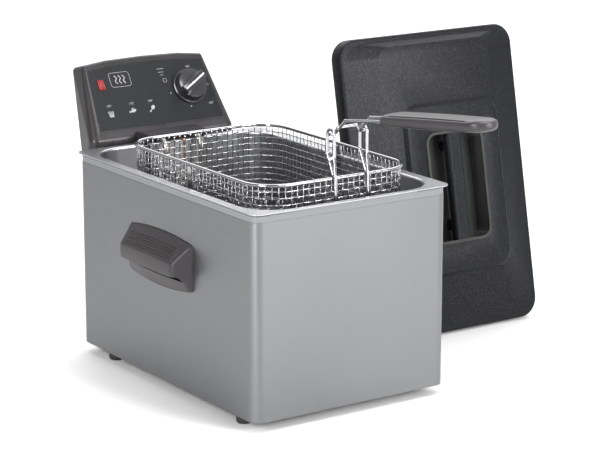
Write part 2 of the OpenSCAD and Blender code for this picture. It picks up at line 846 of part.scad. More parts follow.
// The raised middle and the handle zone on it, shrunk by inset.
module lid_raised(inset) {
    hull() {
        translate([lid_w / 2, lid_l / 2, lid_skirt - 1 - inset])
            plate(plateau_low[0] - 2 * inset, plateau_low[1] - 2 * inset, 24, 1);
        translate([lid_w / 2, plateau_y, lid_skirt + lid_rise - 1 - inset])
            plate(plateau_top[0] - 2 * inset, plateau_top[1] - 2 * inset, 18, 1);
    }
    hull() {
        translate([zone_at[0], zone_at[1], lid_skirt + lid_rise - 1 - inset])
            plate(zone_low[0] - 2 * inset, zone_low[1] - 2 * inset, 18, 1);
        translate([zone_at[0], zone_at[1], zone_z - 1 - inset])
            plate(zone_top[0] - 2 * inset, zone_top[1] - 2 * inset, 16, 1);
    }
}

module lid_panel() {
    color("dimgray") stand_lid() difference() {
        union() {
            lid_block(0, lid_skirt);
            lid_raised(0);
        }
        translate([0, 0, -eps]) lid_block(lid_t, lid_skirt - lid_t);
        lid_raised(lid_t);
        translate([well_at[0], well_at[1], lid_skirt]) plate(well_size[0], well_size[1], 12, 30);
    }
}

module lid_liner() {
    w = lid_w - 2 * lid_t - 0.6;
    l = lid_l - 2 * lid_t - 0.6;
    color("silver") stand_lid() translate([lid_w / 2, lid_l / 2, liner_z]) plate(w, l, lid_r - 1.5, 1);
}

module lid_well() {
    w = well_size[0] - 0.4;
    l = well_size[1] - 0.4;
    color("dimgray") stand_lid() translate([well_at[0], well_at[1], zone_z - well_deep]) difference() {
        union() {
            ring(w, l, 11.8, well_t, well_deep + 0.8);
            plate(w, l, 11.8, well_t);
            translate([0, 0, well_deep]) ring(w + 3, l + 3, 13.3, 1.5 + well_t, 0.8);
        }
        for (y = lid_screw_y) translate([0, y, -1]) cylinder(r = lid_screw_r + 0.2, h = well_t + 2);
    }
}

module lid_grip() {
    floor_z = zone_z - well_deep + well_t;
    bar_z = zone_z + 1 - lid_grip_h;
    color("dimgray") stand_lid() translate([well_at[0], well_at[1], 0]) {
        translate([0, 0, bar_z + lid_grip_h / 2]) rotate([90, 0, 0])
            linear_extrude(well_size[1] - 0.6 - 2 * well_t, center = true)
            plate_2d(lid_grip_w, lid_grip_h, lid_grip_r);
        for (y = lid_screw_y) difference() {
            translate([0, y, floor_z]) cylinder(r = 6, h = bar_z + 4 - floor_z);
            translate([0, y, floor_z - 1]) cylinder(r = lid_screw_r, h = 10);
        }
    }
}

module lid_screws() {
    color("gray") stand_lid() for (y = lid_screw_y)
        translate([well_at[0], well_at[1] + y, zone_z - well_deep])
            rotate([180, 0, 0]) screw(lid_screw_r, 9);
}

// ---- Assembly ----

casing();
base_plate();
foot(foot_places[0]);
foot(foot_places[1]);
foot(foot_places[2]);
foot(foot_places[3]);
foot_screws();
carry_handle(-1);  // left_carry_handle
carry_handle(1);  // right_carry_handle
carry_handle_screws();
top_frame();
unit_guide();
guide_rivets();
pot();
head_housing();
head_back_cover();
head_screws();
control_panel();
pilot_lens();
pilot_lamp();
thermostat();
thermostat_bulb();
thermal_cutout();
terminal_block();
micro_switch();
inner_wires();
cord_gland();
heating_element();
element_plate();
element_clip();
element_cover();
unit_tongue();
thermostat_knob();
knob_pointer();
reset_button();
basket_rim();
basket_mesh();
basket_frame();
handle_bracket();
handle_wires();
handle_grip();
lid_panel();
lid_liner();
lid_well();
lid_grip();
lid_screws();
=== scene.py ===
"""Looks of a domestic deep fryer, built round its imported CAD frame. Metres, +Z up."""
import json
import math

import bmesh
import bpy
from mathutils import Matrix, Vector

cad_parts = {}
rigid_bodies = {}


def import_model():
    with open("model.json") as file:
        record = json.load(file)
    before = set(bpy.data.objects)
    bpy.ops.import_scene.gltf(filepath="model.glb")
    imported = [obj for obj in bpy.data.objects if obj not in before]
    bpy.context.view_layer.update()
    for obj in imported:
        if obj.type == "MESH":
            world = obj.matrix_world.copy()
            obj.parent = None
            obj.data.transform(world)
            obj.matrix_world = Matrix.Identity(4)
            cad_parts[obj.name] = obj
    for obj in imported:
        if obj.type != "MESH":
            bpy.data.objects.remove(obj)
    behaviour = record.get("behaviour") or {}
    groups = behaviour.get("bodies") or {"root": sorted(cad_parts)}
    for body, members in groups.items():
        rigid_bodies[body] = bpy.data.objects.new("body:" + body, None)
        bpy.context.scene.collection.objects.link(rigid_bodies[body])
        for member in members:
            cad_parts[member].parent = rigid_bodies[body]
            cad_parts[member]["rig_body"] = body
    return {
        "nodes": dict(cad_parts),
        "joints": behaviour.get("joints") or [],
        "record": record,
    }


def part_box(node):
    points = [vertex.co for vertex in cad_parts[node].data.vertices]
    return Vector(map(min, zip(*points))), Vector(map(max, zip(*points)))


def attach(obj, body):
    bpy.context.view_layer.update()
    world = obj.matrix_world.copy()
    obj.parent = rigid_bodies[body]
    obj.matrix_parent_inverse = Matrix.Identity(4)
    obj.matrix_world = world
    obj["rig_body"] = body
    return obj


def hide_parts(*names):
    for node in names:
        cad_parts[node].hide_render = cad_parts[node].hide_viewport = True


MM = 0.001
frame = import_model()
nodes = frame["nodes"]
joints = {joint["name"]: joint for joint in frame["joints"]}
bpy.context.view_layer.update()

# ---- Places worked out from the frame ----

KNOB_ON_PANEL = (46.5, 42.0)  # mm right of and above the middle of the panel's lower edge
FLOOR_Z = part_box("foot_front_left")[0].z


def panel_frame():
    """Matrix from the sloping panel's mm to the scene: x across, y up it, z out of it."""
    knob = joints["thermostat_knob_turn"]
    out = Vector(knob["axis"]).normalized()
    across = Vector((1, 0, 0))
    up = out.cross(across)
    place = Vector(knob["pos_m"]) - MM * (KNOB_ON_PANEL[0] * across + KNOB_ON_PANEL[1] * up)
    turn = Matrix((across, up, out)).transposed().to_4x4()
    return Matrix.Translation(place) @ turn @ Matrix.Scale(MM, 4)


PANEL = panel_frame()

# ---- Material helpers ----


class Look:
    """A node material under construction: a shader, object coordinates and short-hands."""

    def __init__(self, name, color=(0.5, 0.5, 0.5), **sockets):
        self.material = bpy.data.materials.new(name)
        self.material.use_nodes = True
        self.tree = self.material.node_tree
        self.shader = self.tree.nodes["Principled BSDF"]
        self.shader.inputs["Base Color"].default_value = (*color, 1)
        for key, value in sockets.items():
            self.shader.inputs[key.replace("_", " ")].default_value = value
        self.coords = self.tree.nodes.new("ShaderNodeTexCoord").outputs["Object"]

    def node(self, kind, **inputs):
        made = self.tree.nodes.new(kind)
        for key, value in inputs.items():
            socket = made.inputs[key.replace("_", " ")]
            if isinstance(value, bpy.types.NodeSocket):
                self.tree.links.new(value, socket)
            else:
                socket.default_value = value
        return made

    def stretched(self, scale):
        """The object coordinates, scaled per axis."""
        mapping = self.node("ShaderNodeMapping", Vector=self.coords, Scale=scale)
        return mapping.outputs["Vector"]

    def noise(self, scale, detail=3.0, stretch=None, roughness=0.5):
        vector = self.stretched(stretch) if stretch else self.coords
        made = self.node("ShaderNodeTexNoise", Vector=vector, Scale=scale, Detail=detail,
                         Roughness=roughness)
        return made.outputs["Fac"]

    def cells(self, scale, feature, output="Distance"):
        made = self.node("ShaderNodeTexVoronoi", Vector=self.coords, Scale=scale)
        made.feature = feature
        return made.outputs[output]

    def ramp(self, value, low, high, first, last):
        """Maps value between low and high to the range first to last."""
        made = self.node("ShaderNodeMapRange", Value=value, From_Min=low, From_Max=high,
                         To_Min=first, To_Max=last)
        return made.outputs["Result"]

    def blend(self, value, first, last):
        """Mixes two colours by a value from 0 to 1."""
        made = self.tree.nodes.new("ShaderNodeMix")
        made.data_type = "RGBA"
        self.tree.links.new(value, made.inputs[0])
        made.inputs[6].default_value = (*first, 1)
        made.inputs[7].default_value = (*last, 1)
        return made.outputs[2]

    def color(self, value, first, last):
        """Colours the surface between two tones by a value from 0 to 1."""
        self.tree.links.new(self.blend(value, first, last), self.shader.inputs["Base Color"])

    def rough(self, value, first, last):
        """Varies the roughness from first to last by a noise."""
        made = self.ramp(value, 0.3, 0.7, first, last)
        self.tree.links.new(made, self.shader.inputs["Roughness"])

    def bump(self, value, strength, depth_mm):
        made = self.node("ShaderNodeBump", Strength=strength, Distance=depth_mm * MM, Height=value)
        self.tree.links.new(made.outputs["Normal"], self.shader.inputs["Normal"])

    def added(self, first, second):
        made = self.node("ShaderNodeMath", Value=first)
        made.operation = "ADD"
        self.tree.links.new(second, made.inputs[1])
        return made.outputs[0]


ROUGH_LESS, ROUGH_MORE = 0.04, 0.05


def satin_steel(name, tone, rough, stretch, grain=0.05):
    """Sheet steel with a fine directional grain and faint cloudiness."""
    look = Look(name, tone, Metallic=1.0)
    grain_noise = look.noise(900, 4, stretch, 0.6)
    cloud = look.noise(9, 3)
    look.color(cloud, tuple(0.94 * c for c in tone), tuple(min(1, 1.05 * c) for c in tone))
    mixed = look.added(grain_noise, look.ramp(cloud, 0.3, 0.7, -0.12, 0.12))
    look.rough(mixed, rough - ROUGH_LESS, rough + ROUGH_MORE)
    look.bump(grain_noise, grain, 0.05)
    return look.material


def moulded(name, tone, rough, grain_mm=0.7, strength=0.35, variation=0.14, **sockets):
    """Moulded plastic with a spark-eroded grain and slight colour variation."""
    look = Look(name, tone, **sockets)
    grain = look.noise(1 / (grain_mm * MM), 3)
    cloud = look.noise(30, 3)
    dark = tuple(c * (1 - variation) for c in tone)
    light = tuple(c * (1 + variation) for c in tone)
    mixed = look.added(look.ramp(grain, 0.35, 0.65, 0, 0.6), look.ramp(cloud, 0.35, 0.65, 0, 0.4))
    look.color(mixed, dark, light)
    look.rough(cloud, rough - ROUGH_LESS, rough + ROUGH_MORE)
    look.bump(grain, strength, 0.08)
    return look.material


def speckled_panel():
    """The label plate: dark grey film with a fine light speckle."""
    look = Look("panel_film", (0.02, 0.02, 0.022), Roughness=0.42, Specular_IOR_Level=0.2)
    speck = look.noise(2300, 2)
    look.color(look.ramp(speck, 0.48, 0.72, 0, 1), (0.006, 0.007, 0.008), (0.04, 0.042, 0.045))
    look.rough(look.noise(60, 3), 0.38, 0.46)
    look.bump(speck, 0.12, 0.03)
    return look.material


def hammered_paint():
    """Dark grey paint with small dimples and metallic sparkle."""
    look = Look("hammered_paint", (0.04, 0.042, 0.046), Metallic=0.2, Specular_IOR_Level=0.15)
    dimple = look.cells(560, "SMOOTH_F1")
    flake = look.cells(2300, "F1", "Color")
    bright = look.node("ShaderNodeSeparateColor", Color=flake).outputs[0]
    look.color(look.ramp(bright, 0.80, 1.0, 0, 1), (0.006, 0.0065, 0.008), (0.046, 0.048, 0.055))
    look.rough(look.noise(700, 2), 0.36, 0.52)
    look.bump(look.added(dimple, look.noise(1200, 2)), 0.16, 0.15)
    return look.material


def polished_wire():
    """Bright chromed wire with faint drawing streaks."""
    look = Look("polished_wire", (0.42, 0.42, 0.43), Metallic=1.0)
    streak = look.noise(260, 4, (1, 1, 0.25))
    look.color(streak, (0.33, 0.33, 0.34), (0.50, 0.50, 0.52))
    look.rough(streak, 0.10, 0.20)
    look.bump(streak, 0.02, 0.03)
    return look.material


def red_lens():
    """Red moulding with fine prisms behind a glossy face."""
    look = Look("red_lens", (0.25, 0.001, 0.003), Roughness=0.2, Coat_Weight=0.3, Coat_Roughness=0.05,
                Specular_IOR_Level=0.3)
    wave = look.node("ShaderNodeTexWave", Vector=look.coords, Scale=330.0, Distortion=0.3)
    look.color(wave.outputs["Fac"], (0.10, 0.0, 0.001), (0.29, 0.0, 0.001))
    look.bump(wave.outputs["Fac"], 0.25, 0.2)
    return look.material


def lamp_glass():
    """The neon lamp's clear bulb, tinted orange."""
    look = Look("lamp_glass", (0.95, 0.55, 0.30), Roughness=0.08, Transmission_Weight=0.7, IOR=1.47)
    look.color(look.noise(300, 2), (0.95, 0.50, 0.25), (0.98, 0.66, 0.42))
    return look.material


def printed(name, tone):
    """Screen-printed ink, a little uneven."""
    look = Look(name, tone, Roughness=0.5)
    look.color(look.noise(900, 2), tuple(0.82 * c for c in tone), tone)
    return look.material


def pale_floor():
    look = Look("pale_floor", (0.86, 0.86, 0.86), Roughness=0.75)
    look.color(look.noise(4, 2), (0.84, 0.84, 0.84), (0.88, 0.88, 0.88))
    return look.material


LOOKS = {
    "casing_steel": satin_steel("casing_steel", (0.195, 0.198, 0.204), 0.38, (0.12, 0.12, 1), 0.03),
    "base_plastic": moulded("base_plastic", (0.05, 0.05, 0.053), 0.6),
    "foot_rubber": moulded("foot_rubber", (0.018, 0.018, 0.019), 0.7, 0.5, 0.4),
    "screw_steel": satin_steel("screw_steel", (0.55, 0.55, 0.56), 0.3, (1, 1, 1)),
    "handle_plastic": moulded("handle_plastic", (0.033, 0.030, 0.032), 0.36, 0.5, 0.18,
                              Specular_IOR_Level=0.35),
    "frame_plastic": moulded("frame_plastic", (0.17, 0.174, 0.185), 0.42, 0.8, 0.06, 0.04),
    "bracket_steel": satin_steel("bracket_steel", (0.62, 0.62, 0.63), 0.34, (1, 0.1, 1)),
    "pot_steel": satin_steel("pot_steel", (0.46, 0.465, 0.48), 0.30, (1, 1, 1), 0.01),
    "panel_plastic": speckled_panel(),
    "lens_red": red_lens(),
    "lamp_glass": lamp_glass(),
    "bulb_copper": satin_steel("bulb_copper", (0.72, 0.40, 0.26), 0.25, (1, 0.1, 1)),
    "insulator": moulded("insulator", (0.74, 0.70, 0.60), 0.5, 1.0, 0.2, 0.05),
    "switch_plastic": moulded("switch_plastic", (0.03, 0.03, 0.032), 0.5),
    "wire_brown": moulded("wire_brown", (0.20, 0.085, 0.04), 0.5),
    "element_steel": satin_steel("element_steel", (0.34, 0.32, 0.30), 0.36, (1, 0.1, 1), 0.15),
    "knob_plastic": moulded("knob_plastic", (0.020, 0.020, 0.022), 0.24, 0.4, 0.06, 0.1, Coat_Weight=0.4),
    "pointer_white": moulded("pointer_white", (0.85, 0.85, 0.85), 0.35, 0.8, 0.05, 0.04),
    "button_red": moulded("button_red", (0.50, 0.02, 0.02), 0.4),
    "basket_chrome": polished_wire(),
    "lid_paint": hammered_paint(),
    "liner_steel": satin_steel("liner_steel", (0.64, 0.64, 0.65), 0.30, (1, 1, 0.1)),
    "well_plastic": moulded("well_plastic", (0.028, 0.030, 0.028), 0.22, 0.6, 0.04, 0.1, Coat_Weight=0.5),
}
INK = printed("ink_white", (0.34, 0.34, 0.35))

HEAD_PLASTIC = moulded("head_plastic", (0.026, 0.024, 0.0255), 0.30, 0.5, 0.14, Specular_IOR_Level=0.35)
CAD_CREASE = 32  # degrees


def smooth(mesh, degrees):
    """Shades a mesh smooth, with a hard edge wherever faces meet at more than this angle."""
    mesh.set_sharp_from_angle(angle=math.radians(degrees))
    mesh.shade_smooth()


slot_of = {part["node"]: part["material_slot"] for part in frame["record"]["subparts"]}
for name, node in nodes.items():
    node.data.materials.clear()
    node.data.materials.append(LOOKS[slot_of[name]])
    smooth(node.data, CAD_CREASE)

nodes["lid_grip"].data.materials[0] = LOOKS["lid_paint"]
for name in ("head_housing", "head_back_cover"):
    nodes[name].data.materials[0] = HEAD_PLASTIC

# ---- Mesh helpers ----


def piece(name, mesh, body, slot, look=None, replaces=()):
    """Links a new object, gives it its material and rides it on its body."""
    made = bpy.data.objects.new(name, mesh)
    bpy.context.scene.collection.objects.link(made)
    mesh.materials.clear()
    mesh.materials.append(look or LOOKS[slot])
    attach(made, body)
    if replaces:
        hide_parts(*replaces)
    return made


def mesh_from(name, points, faces, rounded=True):
    mesh = bpy.data.meshes.new(name)
    mesh.from_pydata([tuple(p) for p in points], [], faces)
    mesh.validate()
    if rounded:
        mesh.polygons.foreach_set("use_smooth", [True] * len(mesh.polygons))
    mesh.update()
    return mesh


def band(a, b, sides, faces):
    """Joins two closed rings, whose first points are a and b, with four-sided faces."""
    for k in range(sides):
        n = (k + 1) % sides
        faces.append((a + k, a + n, b + n, b + k))


WIRE_SIDES = 6


def tube(points, radius, closed, out_points, out_faces):
    """Adds a round wire along points to the growing lists of points and faces."""
    sides = WIRE_SIDES
    count = len(points)
    first = len(out_points)
    normal = None
    for i, point in enumerate(points):
        before = points[i - 1] if (closed or i) else point
        after = points[(i + 1) % count] if (closed or i < count - 1) else point
        along = (after - before).normalized()
        if normal is None:
            side = Vector((0, 0, 1)) if abs(along.z) < 0.8 else Vector((1, 0, 0))
            normal = along.cross(side).normalized()
        normal = (normal - normal.dot(along) * along).normalized()
        binormal = along.cross(normal)
        for k in range(sides):
            angle = 2 * math.pi * k / sides
            out_points.append(point + radius * (math.cos(angle) * normal + math.sin(angle) * binormal))
    rings = count if closed else count - 1
    for i in range(rings):
        band(first + i * sides, first + ((i + 1) % count) * sides, sides, out_faces)
    if not closed:
        out_faces.append(tuple(first + k for k in reversed(range(sides))))
        out_faces.append(tuple(first + (count - 1) * sides + k for k in range(sides)))


def rounded_path(width, depth, radius, spacing):
    """Evenly spaced (point, outward) pairs round a rounded rectangle in the XY plane."""
    straight_x, straight_y = width - 2 * radius, depth - 2 * radius
    corner = math.pi / 2 * radius
    total = 2 * (straight_x + straight_y) + 4 * corner
    count = 2 * round(total / spacing / 2)
    result = []
    for i in range(count):
        s = total * i / count
        for q in range(4):
            run = straight_y if q % 2 == 0 else straight_x
            turn = Matrix.Rotation(q * math.pi / 2, 3, "Z")
            across = (width if q % 2 == 0 else depth) / 2
            if s <= run:
                result.append((turn @ Vector((across, s - run / 2, 0)), turn @ Vector((1, 0, 0))))
                break
            s -= run
            if s <= corner:
                a = s / radius
                out = Vector((math.cos(a), math.sin(a), 0))
                centre = Vector((across - radius, run / 2, 0))
                result.append((turn @ (centre + radius * out), turn @ out))
                break
            s -= corner
    return result


# ---- Woven basket ----

MESH_PITCH = 6.7 * MM
MESH_WIRE = 0.52 * MM
MESH_WAVE = 0.42 * MM
FLOOR_BEND = 9 * MM
BEND_STEPS = 4
BASKET_CORNER = 35 * MM


def woven_basket():
    """Wire cloth: upright wires and level rings on the walls, a grid on the floor."""
    low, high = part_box("basket_mesh")
    rim_low, rim_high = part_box("basket_rim")
    top = (rim_low.z + rim_high.z) / 2
    radius = BASKET_CORNER
    centre = (low + high) / 2
    centre.z = low.z
    half_wire = MESH_WIRE + MESH_WAVE
    width, depth = high.x - low.x - 2 * half_wire, high.y - low.y - 2 * half_wire
    path = rounded_path(width, depth, radius, MESH_PITCH)
    base = low.z + half_wire
    wall_low = base + FLOOR_BEND
    rings = round((top - wall_low) / MESH_PITCH)
    step = (top - wall_low) / rings
    points, faces = [], []
    for i, (at, out) in enumerate(path):
        run = []
        for j in range(2 * rings + 1):
            wave = MESH_WAVE * math.cos(math.pi * (i + j / 2)) * (j % 2 == 0)
            run.append(centre + at + wave * out + Vector((0, 0, top - j * step / 2 - centre.z)))
        for k in range(1, BEND_STEPS + 1):
            a = k * math.pi / (2 * BEND_STEPS)
            inward = FLOOR_BEND * (1 - math.cos(a))
            level = wall_low - FLOOR_BEND * math.sin(a) - centre.z
            run.append(centre + at - inward * out + Vector((0, 0, level)))
        tube(run, MESH_WIRE, False, points, faces)
    for j in range(rings + 1):
        ring = []
        for i, (at, out) in enumerate(path):
            wave = -MESH_WAVE * math.cos(math.pi * (i + j))
            level = Vector((0, 0, top - j * step - centre.z))
            ring.append(centre + at + wave * out + level)
            after = path[(i + 1) % len(path)]
            ring.append(centre + (at + after[0]) / 2 + level)
        tube(ring, MESH_WIRE, True, points, faces)
    floor_grid(centre, width - 2 * FLOOR_BEND, depth - 2 * FLOOR_BEND, radius - FLOOR_BEND, base,
               points, faces)
    mesh = mesh_from("basket_weave", points, faces)
    piece("basket_weave", mesh, "basket", "basket_chrome", replaces=("basket_mesh",))


def floor_grid(centre, width, depth, radius, level, points, faces):
    """The floor's wires, cut off at a rounded rectangle."""
    def reach(offset, half_side, half_run):
        """Half the length of the wire that lies offset from the middle."""
        past = abs(offset) - (half_side - radius)
        if past <= 0:
            return half_run
        return half_run - radius + math.sqrt(max(radius ** 2 - past ** 2, 0))

    for axis, (side, run) in enumerate(((width, depth), (depth, width))):
        count = int(side / MESH_PITCH / 2)
        for i in range(-count, count + 1):
            offset = i * MESH_PITCH
            end = reach(offset, side / 2, run / 2)
            marks = int(end / MESH_PITCH * 2)
            line = []
            for j in range(-marks, marks + 1):
                along = j * MESH_PITCH / 2
                wave = MESH_WAVE * math.cos(math.pi * (i + j / 2 + axis)) * (j % 2 == 0)
                at = (offset, along) if axis == 0 else (along, offset)
                line.append(Vector((centre.x + at[0], centre.y + at[1], level + wave)))
            if len(line) > 1:
                tube(line, MESH_WIRE, False, points, faces)


woven_basket()


# ---- Lofts ----


def loft(name, rings):
    """Joins closed rings of equal length into one solid with capped ends."""
    sides = len(rings[0])
    points = [point for ring in rings for point in ring]
    faces = []
    for i in range(len(rings) - 1):
        band(i * sides, (i + 1) * sides, sides, faces)
    faces.append(tuple(reversed(range(sides))))
    faces.append(tuple((len(rings) - 1) * sides + k for k in range(sides)))
    mesh = mesh_from(name, points, faces)
    outward(mesh)
    return mesh


def outward(mesh):
    """Points every face out of the solid."""
    work = bmesh.new()
    work.from_mesh(mesh)
    bmesh.ops.recalc_face_normals(work, faces=work.faces)
    work.to_mesh(mesh)
    work.free()


def applied(mesh, *steps):
    """A new mesh: the given one after a list of (modifier kind, settings)."""
    holder = bpy.data.objects.new("holder", mesh)
    bpy.context.scene.collection.objects.link(holder)
    for kind, settings in steps:
        modifier = holder.modifiers.new(kind, kind)
        for key, value in settings.items():
            setattr(modifier, key, value)
    bpy.context.view_layer.update()
    shape = holder.evaluated_get(bpy.context.evaluated_depsgraph_get())
    made = bpy.data.meshes.new_from_object(shape)
    bpy.data.objects.remove(holder)
    return made


def softened(node, name, width_mm, degrees=35):
    """A copy of a CAD node whose hard edges carry a small round, in the node's place."""
    work = bmesh.new()
    work.from_mesh(nodes[node].data)
    bmesh.ops.remove_doubles(work, verts=work.verts, dist=0.002 * MM)
    bmesh.ops.dissolve_limit(work, angle_limit=math.radians(0.5), verts=work.verts, edges=work.edges)
    mesh = bpy.data.meshes.new(name)
    work.to_mesh(mesh)
    work.free()
    bevel = {"width": width_mm * MM, "segments": 2, "limit_method": "ANGLE",
             "angle_limit": math.radians(degrees)}
    made = applied(mesh, ("BEVEL", bevel))
    smooth(made, 50)
    slot = slot_of[node]
    body = nodes[node]["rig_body"]
    return piece(name, made, body, slot, replaces=(node,))


# ---- Basket grip ----

GRIP_SLOPE = math.radians(7)
GRIP_THICK = 6.4 * MM
GRIP_STATIONS = 64
GRIP_SIDES = 96
GRIP_ROUNDNESS = 2 / 2.9  # power of the section's superellipse
GRIP_ROOT = 7 * MM  # length over which the root rounds off
GRIP_SWELL = 0.6 * MM
LEAST = 0.0004  # keeps the free end from closing to a point
GRIP_GROOVES = (0.20, 0.80, 1.20, 1.80)  # places round the section, in half turns
GROOVE_WIDTH = 0.022  # half turns
GROOVE_DEPTH = 0.10  # share of the section
GROOVE_INSET = 8 * MM


def round_off(t):
    """The height of a quarter circle, 0 at t = 0 and 1 at t = 1."""
    return math.sqrt(max(1 - (1 - t) ** 2, LEAST))


def basket_grip():
    """The moulded grip: rounded section, long grooves along its sides, round free end."""
    low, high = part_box("handle_grip")
    length = (high.y - low.y) / math.cos(GRIP_SLOPE) - 1.5 * MM
    half = (high.x - low.x) / 2
    mount = joints["basket_handle_fold"]["pos_m"]
    start = Vector((mount[0], high.y - 0.5 * MM, low.z + GRIP_THICK))
    along = Vector((0, -math.cos(GRIP_SLOPE), math.sin(GRIP_SLOPE)))
    up = Vector((0, math.sin(GRIP_SLOPE), math.cos(GRIP_SLOPE)))
    across = Vector((1, 0, 0))
    rings = []
    for i in range(GRIP_STATIONS + 1):
        t = i / GRIP_STATIONS
        s = length * (0.5 - 0.5 * math.cos(math.pi * t))
        root = math.sqrt(1 - (1 - min(s / GRIP_ROOT, 1)) ** 2)
        tip = min((length - s) / half, 1)
        width = half * (0.94 + 0.05 * root)
        width *= 1 - 0.06 * (s / length)
        width *= round_off(tip)
        height = GRIP_THICK * (0.80 + 0.20 * root)
        height *= 0.25 + 0.75 * round_off(min(tip * 1.25, 1))
        swell = GRIP_SWELL * math.sin(math.pi * s / length)
        inset = min(s - GROOVE_INSET, length - 2 * GROOVE_INSET - s) / GROOVE_INSET
        groove = min(max(inset, 0), 1)
        ring = []
        for k in range(GRIP_SIDES):
            a = 2 * math.pi * k / GRIP_SIDES
            x = math.copysign(abs(math.cos(a)) ** GRIP_ROUNDNESS, math.cos(a))
            z = math.copysign(abs(math.sin(a)) ** GRIP_ROUNDNESS, math.sin(a))
            dent = 0
            for mark in GRIP_GROOVES:
                gap = (a / math.pi - mark + 1) % 2 - 1
                dent += math.exp(-(gap / GROOVE_WIDTH) ** 2)
            shrink = 1 - GROOVE_DEPTH * dent * groove
            ring.append(start + s * along + shrink * (width * x * across + (height + swell) * z * up))
        rings.append(ring)
    mesh = loft("basket_grip", rings)
    smooth(mesh, 60)
    piece("basket_grip", mesh, "basket_handle", "handle_plastic", replaces=("handle_grip",))


basket_grip()


# ---- Carry handles ----

HANDLE_WALL = 3 * MM
HANDLE_REACH = 19.5 * MM
HANDLE_TAPER = 8 * MM  # how far the cheeks lean in over the whole reach
HANDLE_CORNER = 4 * MM
HOLLOW_CORNER = 3 * MM
HANDLE_SLOPE = 19 * MM  # height of the ribbed slope
HANDLE_BAND = 12 * MM  # height of the front band
HANDLE_GAP = 7 * MM  # height of the gap under the band
HANDLE_RIBS = 6
RIB_SPAN = (0.36, 0.92)  # share of the slope that the ribs take
RIB_DEPTH = 1.3 * MM
RIB_MARGIN = 15 * MM  # plain slope beside the ribs
SLOPE_ROWS = 110
CHEEK_STEPS = 8
FRONT_STEPS = 40
BAND_STEPS = (0.1, 0.25, 0.5, 0.75, 0.9, 1.0)
LIP_STEPS = (0.06, 0.14, 0.25, 0.35, 0.45, 0.55, 0.65, 0.75, 0.85, 0.93, 1.0)
# how much higher, in mm, the middle stands than the cheeks at each level
BOW_TOP, BOW_EDGE, BOW_BAND, BOW_FOOT = 4.5, 2.4, -2.8, -5.3


def between(first, last, t):
    return first + (last - first) * t


def handle_ring(level, reach, half, corner, base):
    """One outline of a carry handle: out along a cheek, along the front and back in.

    base is the wall's x and the side that the handle stands on; level gives the height.
    """
    side_x, sign = base
    front_half = half - HANDLE_TAPER * reach / HANDLE_REACH
    corner = min(corner, 0.45 * reach)
    wall = Vector((0, -half, 0))
    tip = Vector((reach, -front_half, 0))
    turn_in = tip + corner * (wall - tip).normalized()
    turn_out = tip + Vector((0, corner, 0))
    side = [between(wall, turn_in, k / CHEEK_STEPS) for k in range(CHEEK_STEPS)]
    for k in range(CHEEK_STEPS + 1):
        t = k / CHEEK_STEPS
        side.append(between(between(turn_in, tip, t), between(tip, turn_out, t), t))
    front = []
    for k in range(1, FRONT_STEPS):
        front.append(Vector((reach, between(turn_out.y, -turn_out.y, k / FRONT_STEPS), 0)))
    mirrored = [Vector((p.x, -p.y, 0)) for p in reversed(side)]
    ring = []
    for p in side + front + mirrored:
        bow = 1 - (p.y / half) ** 2
        ring.append(Vector((side_x + sign * p.x * (1 + 0.08 * bow), p.y, level(bow))))
    return ring


def ribbed(ring, t, inner, base):
    """Presses finger grooves into the middle of a slope ring."""
    side_x, sign = base
    first, last = RIB_SPAN
    if not first < t < last:
        return ring
    wave = 0.5 - 0.5 * math.cos(2 * math.pi * HANDLE_RIBS * (t - first) / (last - first))
    depth = RIB_DEPTH * min(1.6 * wave, 1)
    reach = max(abs(p.x - side_x) for p in ring)
    for p in ring:
        fade = min(max((inner - abs(p.y)) / (1.5 * MM), 0), 1)
        if abs(p.x - side_x) > reach * 0.85:
            p.x -= sign * 0.6 * depth * fade
            p.z -= 0.8 * depth * fade
    return ring


def handle_cutters(name, top, edge, band_foot, half, base):
    """The finger hollow under the hood and the open space below it."""
    side_x, sign = base
    plate = (side_x + sign * HANDLE_WALL, sign)  # the back plate's face
    inner_reach = HANDLE_REACH - 2 * HANDLE_WALL
    cheek = half - 2 * HANDLE_WALL
    hollow = []
    for k in range(6):
        z = between(top - 10 * MM, edge - 2 * MM, k / 5)
        out = inner_reach * between(0.2, 1, k / 5)
        hollow.append(handle_ring(lambda bow: z + 2 * MM * bow, out, cheek, HOLLOW_CORNER, plate))
    for z in (band_foot, band_foot - HANDLE_GAP + 1 * MM):
        hollow.append(handle_ring(lambda bow: z + BOW_BAND * MM * bow, inner_reach, cheek,
                                  HOLLOW_CORNER, plate))
    below = []
    for z in (band_foot - 0.4 * MM, band_foot - HANDLE_GAP):
        below.append(handle_ring(lambda bow: z + BOW_BAND * MM * bow, HANDLE_REACH + 4 * MM,
                                 half - 1.3 * HANDLE_WALL, HOLLOW_CORNER, plate))
    made = []
    for rings in (hollow, below):
        made.append(bpy.data.objects.new(name + "_cutter", loft(name + "_cutter", rings)))
        bpy.context.scene.collection.objects.link(made[-1])
    return made


